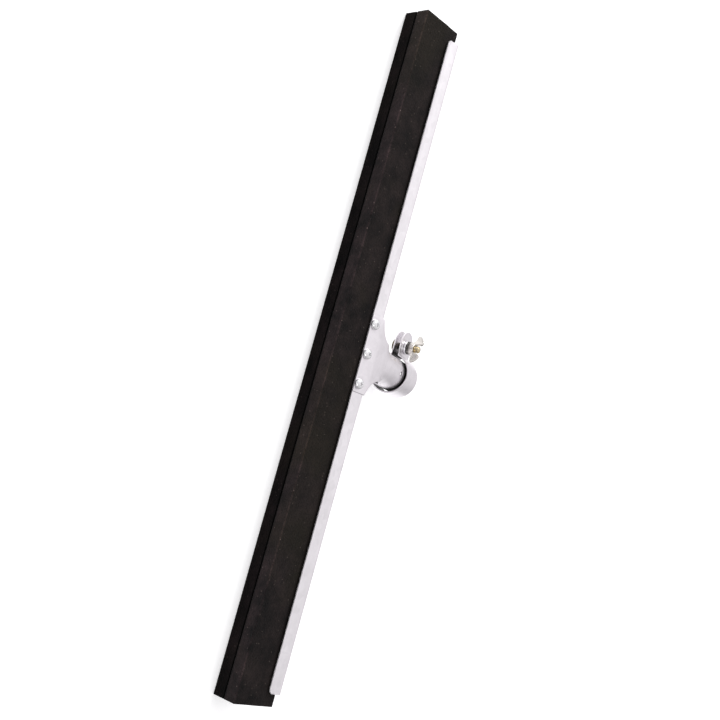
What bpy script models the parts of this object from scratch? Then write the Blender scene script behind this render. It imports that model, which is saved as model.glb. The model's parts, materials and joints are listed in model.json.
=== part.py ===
"""Double-lip floor squeegee head, 550 mm, with a two-shell handle socket and a wing-nut clamp.

The head is modelled upright: X runs along the blades, Y from the front to the back, Z from the
blade tips up to the frame. One empty then lays it on its back, the way it rests on a floor.
"""
import math

import bmesh
import bpy
from mathutils import Matrix, Vector

MM = 0.001
GAP = 0.3 * MM                      # clearance between pieces that touch

# Blades: two strips of foam rubber, side by side in the frame
BLADE_LENGTH = 550 * MM
BLADE_OUTER = 12.1 * MM             # half the thickness of both blades at the tips
BLADE_GRIPPED = 11.7 * MM           # the same, squeezed in the frame
BLADE_SLIT = 0.4 * MM               # half the slit between the blades
BLADE_SWELL_Z = 27.5 * MM           # below this height a blade is at its full thickness

# Frame: a folded sheet-steel channel over the roots of the blades
SHEET = 1.2 * MM
FRAME_LENGTH = 530 * MM
FRAME_HALF_WIDTH = 13.2 * MM
FRAME_BOTTOM = 29.3 * MM
FRAME_TOP = 42.6 * MM
FRAME_FOLD_RADIUS = 3.0 * MM
FRAME_CORNER_RADIUS = 4.5 * MM

# Screws through the socket plates, the frame and the blades
SCREW_SPACING = 24 * MM
SCREW_Z = 33.5 * MM
SCREW_RADIUS = 2.0 * MM
SCREW_HOLE_RADIUS = SCREW_RADIUS + GAP
SCREW_HEAD_RADIUS = 4.3 * MM
SCREW_HEAD_HEIGHT = 2.9 * MM
SCREW_LENGTH = 35 * MM
NUT_ACROSS_FLATS = 7.0 * MM
NUT_HEIGHT = 3.2 * MM
WASHER_RADIUS = 4.5 * MM
WASHER_THICKNESS = 0.8 * MM

# Handle socket: two pressed half shells that run from a flat plate into half a tube
SOCKET_LEAN = math.radians(19)      # the tube leans back from the plane of the blades
SOCKET_BASE_Z = 43 * MM             # where the tube's axis crosses the plane of the blades
SOCKET_RADIUS = 13.9 * MM
SOCKET_FLAT_TO = 12 * MM            # along the axis, where the shells start to curve round
SOCKET_ROUND_AT = 46 * MM           # along the axis, where they have become half tubes
SOCKET_END = 84 * MM
SOCKET_SEAM = 0.5 * MM              # half the slit between the two shells
PLATE_HALF_LENGTH = 31 * MM
NECK_DECAY = 8 * MM                 # how fast the plate narrows above its bend
BEND_REACH = 3 * MM
HANDLE_HOLE_RADIUS = 2.0 * MM
HANDLE_HOLE_AT = 53 * MM

# Clamp: a split band with two ears, drawn together by a bolt and a wing nut
BAND_INNER_RADIUS = 15.9 * MM
BAND_START = 59 * MM
BAND_WIDTH = 22 * MM
FRONT_EAR_INNER = 3.0 * MM          # from the tube's middle plane; the rear ear is bent nearer to it
REAR_EAR_INNER = 1.5 * MM
EAR_REACH = 38.5 * MM
EAR_CORNER_RADIUS = 10.5 * MM
BOLT_OFFSET = 25.5 * MM             # from the tube's axis to the bolt
BOLT_RADIUS = 3.0 * MM
BOLT_HOLE_RADIUS = BOLT_RADIUS + GAP
BOLT_HEAD_FLATS = 10 * MM
BOLT_HEAD_HEIGHT = 4 * MM
BOLT_LENGTH = 20 * MM
CLAMP_WASHER_RADIUS = 6.0 * MM
CLAMP_WASHER_THICKNESS = 1.6 * MM
WING_HUB_BASE_RADIUS = 5.6 * MM
WING_HUB_TOP_RADIUS = 4.6 * MM
WING_HUB_HEIGHT = 6.0 * MM
WING_THICKNESS = 2.0 * MM
WING_REST_TURN = math.radians(-17)  # how far round the nut stands from the blades' direction

FRONT_EAR_OUTER = FRONT_EAR_INNER + SHEET
REAR_EAR_OUTER = REAR_EAR_INNER + SHEET
BAND_OUTER_RADIUS = BAND_INNER_RADIUS + SHEET
BAND_MIDDLE = BAND_START + BAND_WIDTH / 2
PLATE_Y = FRAME_HALF_WIDTH + GAP + SHEET        # outer face of a socket plate


def clear_scene():
    for item in list(bpy.data.objects):
        bpy.data.objects.remove(item, do_unlink=True)


def make_material(name, colour, roughness, metallic):
    material = bpy.data.materials.new(name)
    material.use_nodes = True
    shader = material.node_tree.nodes["Principled BSDF"]
    shader.inputs["Base Color"].default_value = (*colour, 1.0)
    shader.inputs["Roughness"].default_value = roughness
    shader.inputs["Metallic"].default_value = metallic
    return material


def add_empty(name, parent=None, location=(0, 0, 0), turn_x=0.0):
    empty = bpy.data.objects.new(name, None)
    bpy.context.scene.collection.objects.link(empty)
    empty.parent = parent
    empty.location = location
    empty.rotation_euler = (turn_x, 0, 0)
    return empty


def add_object(name, bm, parent, finish=None):
    """Turn a bmesh into an object; finish is its colour, roughness and metallic value."""
    bmesh.ops.recalc_face_normals(bm, faces=bm.faces)
    mesh = bpy.data.meshes.new(name)
    bm.to_mesh(mesh)
    bm.free()
    mesh.shade_smooth()
    mesh.set_sharp_from_angle(angle=math.radians(35))
    item = bpy.data.objects.new(name, mesh)
    bpy.context.scene.collection.objects.link(item)
    item.parent = parent
    if finish:
        mesh.materials.append(make_material(name, *finish))
    return item


def add_prism(bm, outline, start, end, axis):
    """Extrude a closed outline of (a, b) points from start to end along axis X, Y or Z."""
    place = {"X": lambda a, b, t: (t, a, b),
             "Y": lambda a, b, t: (a, t, b),
             "Z": lambda a, b, t: (a, b, t)}[axis]
    lower = [bm.verts.new(place(a, b, start)) for a, b in outline]
    upper = [bm.verts.new(place(a, b, end)) for a, b in outline]
    bm.faces.new(lower)
    bm.faces.new(upper)
    count = len(outline)
    for i in range(count):
        j = (i + 1) % count
        bm.faces.new((lower[i], lower[j], upper[j], upper[i]))


def arc(radius, start, end, steps, centre=(0.0, 0.0)):
    """Points on an arc, angles in degrees, both ends included."""
    points = []
    for i in range(steps + 1):
        angle = math.radians(start + (end - start) * i / steps)
        points.append((centre[0] + radius * math.cos(angle), centre[1] + radius * math.sin(angle)))
    return points


def add_turned(bm, profile, sides):
    """Turn a closed profile of (radius, height) points round the Z axis."""
    rings = []
    for i in range(sides):
        angle = 2 * math.pi * i / sides
        rings.append([bm.verts.new((r * math.cos(angle), r * math.sin(angle), h))
                      for r, h in profile])
    count = len(profile)
    for i in range(sides):
        near = rings[i]
        far = rings[(i + 1) % sides]
        for k in range(count):
            m = (k + 1) % count
            if profile[k][0] > 0 or profile[m][0] > 0:
                bm.faces.new((near[k], near[m], far[m], far[k]))
    bmesh.ops.remove_doubles(bm, verts=bm.verts, dist=1e-7)


def hexagon(across_flats):
    radius = across_flats / math.sqrt(3)
    return arc(radius, 0, 300, 5)


def add_cutter(name, bm, parent):
    cutter = add_object(name, bm, parent)
    cutter.hide_render = True
    cutter.display_type = "WIRE"
    return cutter


def cut(item, cutter):
    modifier = item.modifiers.new("cut_" + cutter.name, "BOOLEAN")
    modifier.operation = "DIFFERENCE"
    modifier.solver = "EXACT"
    modifier.object = cutter


def screw_hole_cutter(root):
    """Three rods along Y, one in each screw's place."""
    bm = bmesh.new()
    reach = 30 * MM
    for step in (-1, 0, 1):
        outline = arc(SCREW_HOLE_RADIUS, 0, 345, 23, centre=(step * SCREW_SPACING, SCREW_Z))
        add_prism(bm, outline, -reach, reach, "Y")
    return add_cutter("screw_hole_cutter", bm, root)


def make_blades(root, holes):
    """Foam strips with square ends; each one swells a little below the frame."""
    top = FRAME_TOP - SHEET - GAP
    crush = FRAME_FOLD_RADIUS - SHEET       # the fold of the frame crushes the foam's corner
    profile = [(BLADE_SLIT, 0), (BLADE_OUTER, 0), (BLADE_OUTER, BLADE_SWELL_Z),
               (BLADE_GRIPPED, BLADE_SWELL_Z + 1.5 * MM), (BLADE_GRIPPED, top - crush),
               (BLADE_GRIPPED - crush, top), (BLADE_SLIT, top)]
    for name, side in (("front_blade", -1), ("rear_blade", 1)):
        bm = bmesh.new()
        outline = [(side * y, z) for y, z in profile]
        add_prism(bm, outline, -BLADE_LENGTH / 2, BLADE_LENGTH / 2, "X")
        blade = add_object(name, bm, root, ((0.016, 0.013, 0.013), 0.9, 0.0))
        cut(blade, holes)


def make_frame_channel(root, holes):
    """A U of bent sheet, open downwards, with rounded lower corners at its four ends."""
    outer = FRAME_HALF_WIDTH
    inner = FRAME_HALF_WIDTH - SHEET
    fold = FRAME_FOLD_RADIUS
    centre_y = outer - fold
    centre_z = FRAME_TOP - fold
    outline = [(outer, FRAME_BOTTOM)]
    outline += arc(fold, 0, 90, 6, centre=(centre_y, centre_z))
    outline += arc(fold, 90, 180, 6, centre=(-centre_y, centre_z))
    outline += [(-outer, FRAME_BOTTOM), (-inner, FRAME_BOTTOM)]
    outline += arc(fold - SHEET, 180, 90, 6, centre=(-centre_y, centre_z))
    outline += arc(fold - SHEET, 90, 0, 6, centre=(centre_y, centre_z))
    outline += [(inner, FRAME_BOTTOM)]
    bm = bmesh.new()
    add_prism(bm, outline, -FRAME_LENGTH / 2, FRAME_LENGTH / 2, "X")
    channel = add_object("frame_channel", bm, root, ((0.72, 0.70, 0.72), 0.38, 0.9))
    cut(channel, holes)
    cut(channel, frame_corner_cutter(root))


def frame_corner_cutter(root):
    """What a rounded corner leaves out, through both flanges at each end of the frame."""
    end = FRAME_LENGTH / 2
    radius = FRAME_CORNER_RADIUS
    outside = 1 * MM
    bm = bmesh.new()
    for side in (-1, 1):
        outline = [(end + outside, FRAME_BOTTOM - outside), (end + outside, FRAME_BOTTOM + radius)]
        outline += arc(radius, 0, -90, 8, centre=(end - radius, FRAME_BOTTOM + radius))
        outline += [(end - radius, FRAME_BOTTOM - outside)]
        add_prism(bm, [(side * x, z) for x, z in outline], -20 * MM, 20 * MM, "Y")
    return add_cutter("frame_corner_cutter", bm, root)


def smoothstep(t):
    t = min(max(t, 0.0), 1.0)
    return t * t * (3 - 2 * t)


def crest_station(side, length):
    """Point and lean of the line along the middle of a shell, a length above its bend."""
    along = Vector((math.sin(SOCKET_LEAN), math.cos(SOCKET_LEAN)))
    outward = Vector((-math.cos(SOCKET_LEAN), math.sin(SOCKET_LEAN))) * -side
    start = Vector((0, SOCKET_BASE_Z)) + outward * SOCKET_RADIUS
    bend_at = (side * PLATE_Y - start.x) / along.x      # along the axis, where the crest bends
    corner = start + along * bend_at
    up = Vector((0, 1))
    if length <= -BEND_REACH:
        return corner + up * length, 0.0, bend_at
    if length >= BEND_REACH:
        return corner + along * length, SOCKET_LEAN, bend_at
    u = (length + BEND_REACH) / (2 * BEND_REACH)
    low = corner - up * BEND_REACH
    high = corner + along * BEND_REACH
    point = low * (1 - u) ** 2 + corner * (2 * u * (1 - u)) + high * u ** 2
    return point, SOCKET_LEAN * u, bend_at


def shell_row(side, length, across):
    """Points across a shell, from -X to +X, a length above its bend."""
    point, lean, bend_at = crest_station(side, length)
    half = PLATE_HALF_LENGTH
    if length > 0:
        spread = math.exp(-length / NECK_DECAY)
        half = SOCKET_RADIUS + (PLATE_HALF_LENGTH - SOCKET_RADIUS) * spread
    curved = length + bend_at - SOCKET_FLAT_TO
    roundness = smoothstep(curved / (SOCKET_ROUND_AT - SOCKET_FLAT_TO))
    inward = Vector((math.cos(lean), -math.sin(lean))) * -side
    seam_angle = math.pi / 2 - math.asin(SOCKET_SEAM / SOCKET_RADIUS)
    row = []
    for i in range(across + 1):
        v = 2 * i / across - 1
        flat_x = v * half
        round_x = SOCKET_RADIUS * math.sin(v * seam_angle)
        depth = roundness * SOCKET_RADIUS * (1 - math.cos(v * seam_angle))
        spot = point + inward * depth
        row.append((flat_x + (round_x - flat_x) * roundness, spot.x, spot.y))
    return row


def shell_lengths(side):
    """Where the rows of a shell lie: down the plate, round the neck and along the tube."""
    corner, _, bend_at = crest_station(side, 0.0)
    neck = SOCKET_ROUND_AT - bend_at
    plate_rows = [FRAME_BOTTOM - corner.y, -BEND_REACH - 1 * MM, -BEND_REACH, -BEND_REACH / 2, 0.0]
    neck_rows = [neck * (i / 16) ** 1.4 for i in range(1, 17)]
    tube_rows = [neck + (SOCKET_END - SOCKET_ROUND_AT) * i / 4 for i in range(1, 5)]
    return plate_rows + neck_rows + tube_rows


def make_socket_shell(name, side, root, socket, holes):
    """One pressed shell: side is -1 at the front, +1 at the back."""
    across = 20
    bm = bmesh.new()
    rows = [[bm.verts.new(point) for point in shell_row(side, length, across)]
            for length in shell_lengths(side)]
    for near, far in zip(rows, rows[1:]):
        for i in range(across):
            quad = (near[i], near[i + 1], far[i + 1], far[i])
            bm.faces.new(quad if side < 0 else quad[::-1])
    mesh = bpy.data.meshes.new(name)
    bm.to_mesh(mesh)
    bm.free()
    mesh.shade_smooth()
    mesh.materials.append(make_material(name, (0.74, 0.72, 0.74), 0.35, 0.9))
    shell = bpy.data.objects.new(name, mesh)
    bpy.context.scene.collection.objects.link(shell)
    shell.parent = root
    wall = shell.modifiers.new("wall", "SOLIDIFY")
    wall.thickness = SHEET
    wall.offset = -1
    wall.use_even_offset = True
    cut(shell, holes)
    if side < 0:
        cut(shell, handle_hole_cutter(socket))


def handle_hole_cutter(socket):
    """A rod through the front shell, where a screw can fix the handle."""
    bm = bmesh.new()
    outline = arc(HANDLE_HOLE_RADIUS, 0, 345, 23, centre=(0, HANDLE_HOLE_AT))
    add_prism(bm, outline, -20 * MM, -8 * MM, "Y")
    return add_cutter("handle_hole_cutter", bm, socket)


def ear_root(ear_face, radius):
    """Angle in degrees, between 180 and 270, at which a face of an ear meets the band's round part."""
    return 180 + math.degrees(math.asin(ear_face / radius))


def make_clamp_band(socket, bolt_axis):
    """A band round the tube, open towards -X, where its two ears run out to the bolt."""
    outline = [(-EAR_REACH, -FRONT_EAR_OUTER)]
    outline += arc(BAND_OUTER_RADIUS, ear_root(FRONT_EAR_OUTER, BAND_OUTER_RADIUS) - 360,
                   360 - ear_root(REAR_EAR_OUTER, BAND_OUTER_RADIUS), 44)
    outline += [(-EAR_REACH, REAR_EAR_OUTER), (-EAR_REACH, REAR_EAR_INNER)]
    outline += arc(BAND_INNER_RADIUS, 360 - ear_root(REAR_EAR_INNER, BAND_INNER_RADIUS),
                   ear_root(FRONT_EAR_INNER, BAND_INNER_RADIUS) - 360, 44)
    outline += [(-EAR_REACH, -FRONT_EAR_INNER)]
    bm = bmesh.new()
    add_prism(bm, outline, BAND_START, BAND_START + BAND_WIDTH, "Z")
    corners = [edge for edge in bm.edges
               if all(abs(v.co.x + EAR_REACH) < 1e-6 for v in edge.verts)
               and abs(edge.verts[0].co.z - edge.verts[1].co.z) < 1e-6]
    bmesh.ops.bevel(bm, geom=corners, offset=EAR_CORNER_RADIUS, segments=6, profile=0.5,
                    affect="EDGES")
    band = add_object("clamp_band", bm, socket, ((0.70, 0.68, 0.70), 0.35, 0.9))
    bm = bmesh.new()
    add_prism(bm, arc(BOLT_HOLE_RADIUS, 0, 345, 23), -10 * MM, 10 * MM, "Z")
    cut(band, add_cutter("bolt_hole_cutter", bm, bolt_axis))


def make_clamp_bolt(bolt_axis):
    """A hex-head bolt; its head bears on the rear ear."""
    seat = -(REAR_EAR_OUTER + GAP)
    bm = bmesh.new()
    add_prism(bm, hexagon(BOLT_HEAD_FLATS), seat - BOLT_HEAD_HEIGHT, seat, "Z")
    head = add_object("clamp_bolt", bm, bolt_axis, ((0.45, 0.40, 0.28), 0.3, 1.0))
    bm = bmesh.new()
    chamfer = 0.6 * MM
    end = seat + BOLT_LENGTH
    profile = [(0, seat - 1 * MM), (BOLT_RADIUS, seat - 1 * MM), (BOLT_RADIUS, end - chamfer),
               (BOLT_RADIUS - chamfer, end), (0, end)]
    add_turned(bm, profile, 24)
    shank = add_cutter("bolt_shank_form", bm, bolt_axis)
    union = head.modifiers.new("shank", "BOOLEAN")
    union.operation = "UNION"
    union.solver = "EXACT"
    union.object = shank


def make_ring(name, parent, inner, outer, start, end, finish):
    bm = bmesh.new()
    add_turned(bm, [(inner, start), (outer, start), (outer, end), (inner, end)], 32)
    return add_object(name, bm, parent, finish)


def make_wing_nut(bolt_axis):
    """A hub on the bolt with two wings that flare outwards, clear of the band."""
    seat = FRONT_EAR_OUTER + GAP + CLAMP_WASHER_THICKNESS + GAP
    hub_top = seat + WING_HUB_HEIGHT
    bm = bmesh.new()
    wing = [(5.0, 1.2), (6.2, 3.4), (8.0, 4.6), (10.2, 5.0), (12.2, 5.4), (12.8, 6.6), (12.2, 8.3),
            (10.6, 10.0), (8.4, 11.5), (6.4, 12.0), (5.0, 11.5), (4.3, 10.0), (4.0, 8.0), (3.6, 5.6)]
    outline = [(-x * MM, seat + z * MM) for x, z in wing]
    outline += [(x * MM, seat + z * MM) for x, z in reversed(wing)]
    add_prism(bm, outline, -WING_THICKNESS / 2, WING_THICKNESS / 2, "Y")
    rims = [edge for edge in bm.edges if abs(edge.verts[0].co.y - edge.verts[1].co.y) < 1e-7]
    bmesh.ops.bevel(bm, geom=rims, offset=0.45 * MM, segments=2, profile=0.5, affect="EDGES")
    bmesh.ops.rotate(bm, verts=bm.verts, cent=(0, 0, 0),
                     matrix=Matrix.Rotation(WING_REST_TURN, 3, "Z"))
    nut = add_object("wing_nut", bm, bolt_axis, ((0.78, 0.76, 0.72), 0.22, 1.0))
    bm = bmesh.new()
    profile = [(0, seat), (WING_HUB_BASE_RADIUS, seat), (WING_HUB_BASE_RADIUS, seat + 1.2 * MM),
               (WING_HUB_TOP_RADIUS, hub_top), (0, hub_top)]
    add_turned(bm, profile, 32)
    union = nut.modifiers.new("hub", "BOOLEAN")
    union.operation = "UNION"
    union.solver = "EXACT"
    union.object = add_cutter("wing_hub_form", bm, bolt_axis)
    bm = bmesh.new()
    add_prism(bm, arc(BOLT_HOLE_RADIUS, 0, 345, 23), seat - 2 * MM, hub_top + 2 * MM, "Z")
    cut(nut, add_cutter("wing_bore_cutter", bm, bolt_axis))


def make_frame_screws(root):
    """Pan-head machine screws along Y with cross recesses, and a washer and nut behind each."""
    seat = PLATE_Y + GAP
    head_top = seat + SCREW_HEAD_HEIGHT
    dome = SCREW_HEAD_RADIUS
    profile = [(0, head_top), (dome * 0.5, head_top - 0.25 * MM), (dome * 0.8, head_top - 0.8 * MM),
               (dome * 0.96, head_top - 1.6 * MM), (dome, seat + 0.5 * MM), (dome, seat),
               (SCREW_RADIUS, seat), (SCREW_RADIUS, seat - SCREW_LENGTH + 0.5 * MM),
               (SCREW_RADIUS - 0.5 * MM, seat - SCREW_LENGTH), (0, seat - SCREW_LENGTH)]
    zinc = ((0.80, 0.79, 0.80), 0.25, 1.0)
    for name, step in (("left", -1), ("centre", 0), ("right", 1)):
        axis = add_empty("screw_axis_" + name, root, (step * SCREW_SPACING, 0, SCREW_Z),
                         math.radians(90))
        bm = bmesh.new()
        add_turned(bm, profile, 24)
        screw = add_object("frame_screw_" + name, bm, axis, zinc)
        bm = bmesh.new()
        slot = 0.4 * MM
        reach = 1.9 * MM
        cross = [(slot, slot), (slot, reach), (-slot, reach), (-slot, slot), (-reach, slot),
                 (-reach, -slot), (-slot, -slot), (-slot, -reach), (slot, -reach), (slot, -slot),
                 (reach, -slot), (reach, slot)]
        add_prism(bm, cross, head_top - 1.5 * MM, head_top + 1 * MM, "Z")
        cut(screw, add_cutter("recess_cutter_" + name, bm, axis))
        washer_top = -seat
        nut_top = washer_top - WASHER_THICKNESS - GAP
        make_ring("frame_washer_" + name, axis, SCREW_HOLE_RADIUS, WASHER_RADIUS,
                  washer_top - WASHER_THICKNESS, washer_top, zinc)
        bm = bmesh.new()
        add_prism(bm, hexagon(NUT_ACROSS_FLATS), nut_top - NUT_HEIGHT, nut_top, "Z")
        nut = add_object("frame_nut_" + name, bm, axis, zinc)
        bm = bmesh.new()
        add_prism(bm, arc(SCREW_HOLE_RADIUS, 0, 345, 23), nut_top - NUT_HEIGHT - 1 * MM,
                  nut_top + 1 * MM, "Z")
        cut(nut, add_cutter("nut_bore_cutter_" + name, bm, axis))


def resting_tilt():
    """Angle of the blades' plane above the floor, lying on the rear blade's tip and the band."""
    low, high = 0.0, math.radians(60)
    for _ in range(60):
        tilt = (low + high) / 2
        far = BAND_START + BAND_WIDTH if tilt < SOCKET_LEAN else BAND_START
        tip = -BLADE_OUTER * math.cos(tilt)
        band = (SOCKET_BASE_Z * math.sin(tilt) + far * math.sin(tilt - SOCKET_LEAN)
                - BAND_OUTER_RADIUS * math.cos(tilt - SOCKET_LEAN))
        if band < tip:
            low = tilt
        else:
            high = tilt
    return tilt


def main():
    clear_scene()
    root = add_empty("squeegee")
    socket = add_empty("socket_axis", root, (0, 0, SOCKET_BASE_Z), -SOCKET_LEAN)
    bolt_axis = add_empty("clamp_bolt_axis", socket, (-BOLT_OFFSET, 0, BAND_MIDDLE),
                          math.radians(90))
    holes = screw_hole_cutter(root)
    make_blades(root, holes)
    make_frame_channel(root, holes)
    make_socket_shell("socket_front_shell", -1, root, socket, holes)
    make_socket_shell("socket_rear_shell", 1, root, socket, holes)
    make_clamp_band(socket, bolt_axis)
    make_clamp_bolt(bolt_axis)
    washer_start = FRONT_EAR_OUTER + GAP
    make_ring("clamp_washer", bolt_axis, BOLT_HOLE_RADIUS, CLAMP_WASHER_RADIUS, washer_start,
              washer_start + CLAMP_WASHER_THICKNESS, ((0.75, 0.74, 0.74), 0.3, 1.0))
    make_wing_nut(bolt_axis)
    make_frame_screws(root)

    # Lay the head on its back, then bring it onto the floor with its box centred on the origin.
    tilt = resting_tilt()
    turn = Matrix.Rotation(tilt - math.pi / 2, 3, "X")
    floor = (turn @ Vector((0, BLADE_OUTER, 0))).z
    tip_y = (turn @ Vector((0, -BLADE_OUTER, 0))).y
    mouth = Vector((0, SOCKET_END * math.sin(SOCKET_LEAN),
                    SOCKET_BASE_Z + SOCKET_END * math.cos(SOCKET_LEAN)))
    rim = Vector((0, math.cos(SOCKET_LEAN), -math.sin(SOCKET_LEAN))) * SOCKET_RADIUS
    mouth_y = max((turn @ (mouth + rim)).y, (turn @ (mouth - rim)).y)
    root.rotation_euler = (tilt - math.pi / 2, 0, 0)
    root.location = (0, -(tip_y + mouth_y) / 2, -floor)
    bpy.context.view_layer.update()


main()
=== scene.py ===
import json
import math

import bmesh
import bpy
from mathutils import Matrix, Vector, noise


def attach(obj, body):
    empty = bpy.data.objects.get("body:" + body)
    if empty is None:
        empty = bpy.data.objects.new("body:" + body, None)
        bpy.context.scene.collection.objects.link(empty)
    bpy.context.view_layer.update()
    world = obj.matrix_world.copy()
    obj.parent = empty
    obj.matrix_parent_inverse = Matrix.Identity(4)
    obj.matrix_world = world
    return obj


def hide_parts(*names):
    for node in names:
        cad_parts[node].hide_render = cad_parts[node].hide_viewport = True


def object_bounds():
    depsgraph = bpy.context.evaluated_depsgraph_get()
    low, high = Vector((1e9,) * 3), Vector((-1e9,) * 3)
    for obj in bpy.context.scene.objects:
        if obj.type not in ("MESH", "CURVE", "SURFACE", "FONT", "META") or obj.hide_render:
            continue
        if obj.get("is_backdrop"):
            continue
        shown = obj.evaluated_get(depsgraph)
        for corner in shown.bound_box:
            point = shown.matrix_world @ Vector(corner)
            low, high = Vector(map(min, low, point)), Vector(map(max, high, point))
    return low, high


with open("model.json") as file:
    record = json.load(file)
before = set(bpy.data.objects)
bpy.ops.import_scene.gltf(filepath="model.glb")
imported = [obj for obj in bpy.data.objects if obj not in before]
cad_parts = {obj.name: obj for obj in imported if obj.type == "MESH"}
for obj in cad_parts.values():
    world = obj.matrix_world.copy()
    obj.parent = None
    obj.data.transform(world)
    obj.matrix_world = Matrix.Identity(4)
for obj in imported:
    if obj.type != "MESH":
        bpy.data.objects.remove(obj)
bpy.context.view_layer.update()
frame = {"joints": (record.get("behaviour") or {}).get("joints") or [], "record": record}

# ---- How the head lies
# A floor squeegee head, laid on its back: the rear lip and the rim of the clamp touch the floor. In the
# head's own directions X runs along the lips, Y from the front to the back, and Z from the tips to the frame.
MM = 0.001
MOUNTS = {mount["name"]: mount for mount in frame["record"]["mounts"]}
JOINTS = {joint["name"]: joint for joint in frame["joints"]}
up_head = -Vector(MOUNTS["front_blade_tip"]["axis"]).normalized()
tips = (Vector(MOUNTS["front_blade_tip"]["pos_m"]) + Vector(MOUNTS["rear_blade_tip"]["pos_m"])) / 2
SOCKET_BASE = 43 * MM               # where the tube's axis crosses the plane of the lips


def lying(up, origin):
    """The place of a frame whose X is the world's and whose Z is up; its Y points away from the front."""
    back = up.cross(Vector((1, 0, 0)))
    turn = Matrix(((1, 0, 0), back, up)).transposed()
    return Matrix.Translation(origin) @ turn.to_4x4()


HEAD = lying(up_head, Vector((0, tips.y, tips.z)))
SOCKET = lying(Vector(MOUNTS["handle_socket_mouth"]["axis"]).normalized(),
               HEAD @ Vector((0, 0, SOCKET_BASE)))
BOLT = (Matrix.Translation(JOINTS["wing_nut_turn"]["pos_m"])
        @ SOCKET.to_3x3().to_4x4() @ Matrix.Rotation(math.radians(90), 4, "X"))

# ---- Studio
# A pale table that glows a little, a soft box at the side and a weaker one in front, and a white surround
# that dims to one side and near the horizon, so that bright metal reads almost white and foam stays black.
def add_object(name, data):
    item = bpy.data.objects.new(name, data)
    bpy.context.scene.collection.objects.link(item)
    return item


camera_data = bpy.data.cameras.new("camera")
camera_data.lens = 55.23
camera_data.sensor_width = 36
camera = add_object("camera", camera_data)
camera.location = (0.12309, -0.76693, 0.45664)
camera.rotation_euler = [math.radians(a) for a in (-18.245, -58.39, 120.253)]
bpy.context.scene.camera = camera
bpy.context.scene.view_settings.view_transform = "Standard"


def make_node(tree, kind, values=None, **settings):
    """A shader or geometry node; each of values is a number for an input, or the output it comes from."""
    node = tree.nodes.new(kind)
    for key, value in settings.items():
        setattr(node, key, value)
    for key, value in (values or {}).items():
        if isinstance(value, bpy.types.NodeSocket):
            tree.links.new(value, node.inputs[key])
        else:
            node.inputs[key].default_value = value
    return node


def maths(tree, operation, *terms):
    return make_node(tree, "ShaderNodeMath", dict(enumerate(terms)), operation=operation).outputs[0]


def ramp(tree, value, start, end, low=0.0, high=1.0):
    """A straight ramp from low to high as the value goes from start to end."""
    return make_node(tree, "ShaderNodeMapRange", {"Value": value, "From Min": start, "From Max": end,
                                                  "To Min": low, "To Max": high}).outputs["Result"]


def new_material(name):
    material = bpy.data.materials.new(name)
    material.use_nodes = True
    tree = material.node_tree
    return material, tree, tree.nodes["Principled BSDF"]


table_mesh = bpy.data.meshes.new("table_top")
TABLE_LEVEL = -0.0003               # a hair below the part's floor, so that the two never share a face
table_mesh.from_pydata([(x, y, TABLE_LEVEL) for x, y in ((-6, -6), (6, -6), (6, 6), (-6, 6))], [],
                       [(0, 1, 2, 3)])
table_top = add_object("table_top", table_mesh)
table_paint, tree, shader = new_material("table_paint")
shader.inputs["Base Color"].default_value = (0.85, 0.85, 0.855, 1)
shader.inputs["Roughness"].default_value = 0.9
shader.inputs["Specular IOR Level"].default_value = 0.1
shader.inputs["Emission Color"].default_value = (1, 1, 1, 1)
shader.inputs["Emission Strength"].default_value = 0.38
table_mesh.materials.append(table_paint)
table_top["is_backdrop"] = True

surround = bpy.data.worlds.new("surround")
surround.use_nodes = True
bpy.context.scene.world = surround
tree = surround.node_tree
direction = make_node(tree, "ShaderNodeTexCoord").outputs["Generated"]
parts = make_node(tree, "ShaderNodeSeparateXYZ", {"Vector": direction})
sideways = maths(tree, "MULTIPLY_ADD", parts.outputs["X"], -0.40, 0.95)
low_band = ramp(tree, parts.outputs["Z"], 0.02, 0.42, 0.42, 1.0)
glow = maths(tree, "MULTIPLY", sideways, low_band)
backing = tree.nodes["Background"]
backing.inputs["Color"].default_value = (1.0, 0.985, 1.0, 1)
tree.links.new(glow, backing.inputs["Strength"])

for lamp, place, size, watts in (("side_softbox", (-1.5, -0.1, 1.2), 0.9, 14),
                                 ("front_softbox", (0.9, -1.3, 1.0), 0.8, 4)):
    light = bpy.data.lights.new(lamp, "AREA")
    light.size = size
    light.energy = watts
    holder = add_object(lamp, light)
    holder.location = place
    holder.rotation_euler = (-Vector(place)).to_track_quat("-Z", "Y").to_euler()

# ---- Foam lips
# Two strips of black cellular rubber, sawn from a sheet, side by side in the frame with a narrow slit
# between them. The free part swells a little below the frame, and its sawn faces are full of open cells.
LIP_LENGTH = 550 * MM
LIP_OUTER = 12.1 * MM               # from the slit's middle plane to a lip's broad face
LIP_GRIPPED = 11.7 * MM             # the same, inside the frame
LIP_SLIT = 0.4 * MM
LIP_TOP = 41.1 * MM
LIP_SHOULDER = 1.8 * MM             # the frame's fold crushes the corner of the root
SWELL_FROM, SWELL_TO = 26.0 * MM, 29.4 * MM


def axis_distance(tree, place, centre, axis):
    """Distance of the shaded point from a line."""
    offset = make_node(tree, "ShaderNodeVectorMath", {0: place, 1: centre}, operation="SUBTRACT")
    across = make_node(tree, "ShaderNodeVectorMath", {0: offset.outputs[0], 1: axis},
                       operation="CROSS_PRODUCT")
    return make_node(tree, "ShaderNodeVectorMath", {0: across.outputs[0]},
                     operation="LENGTH").outputs["Value"]


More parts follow.
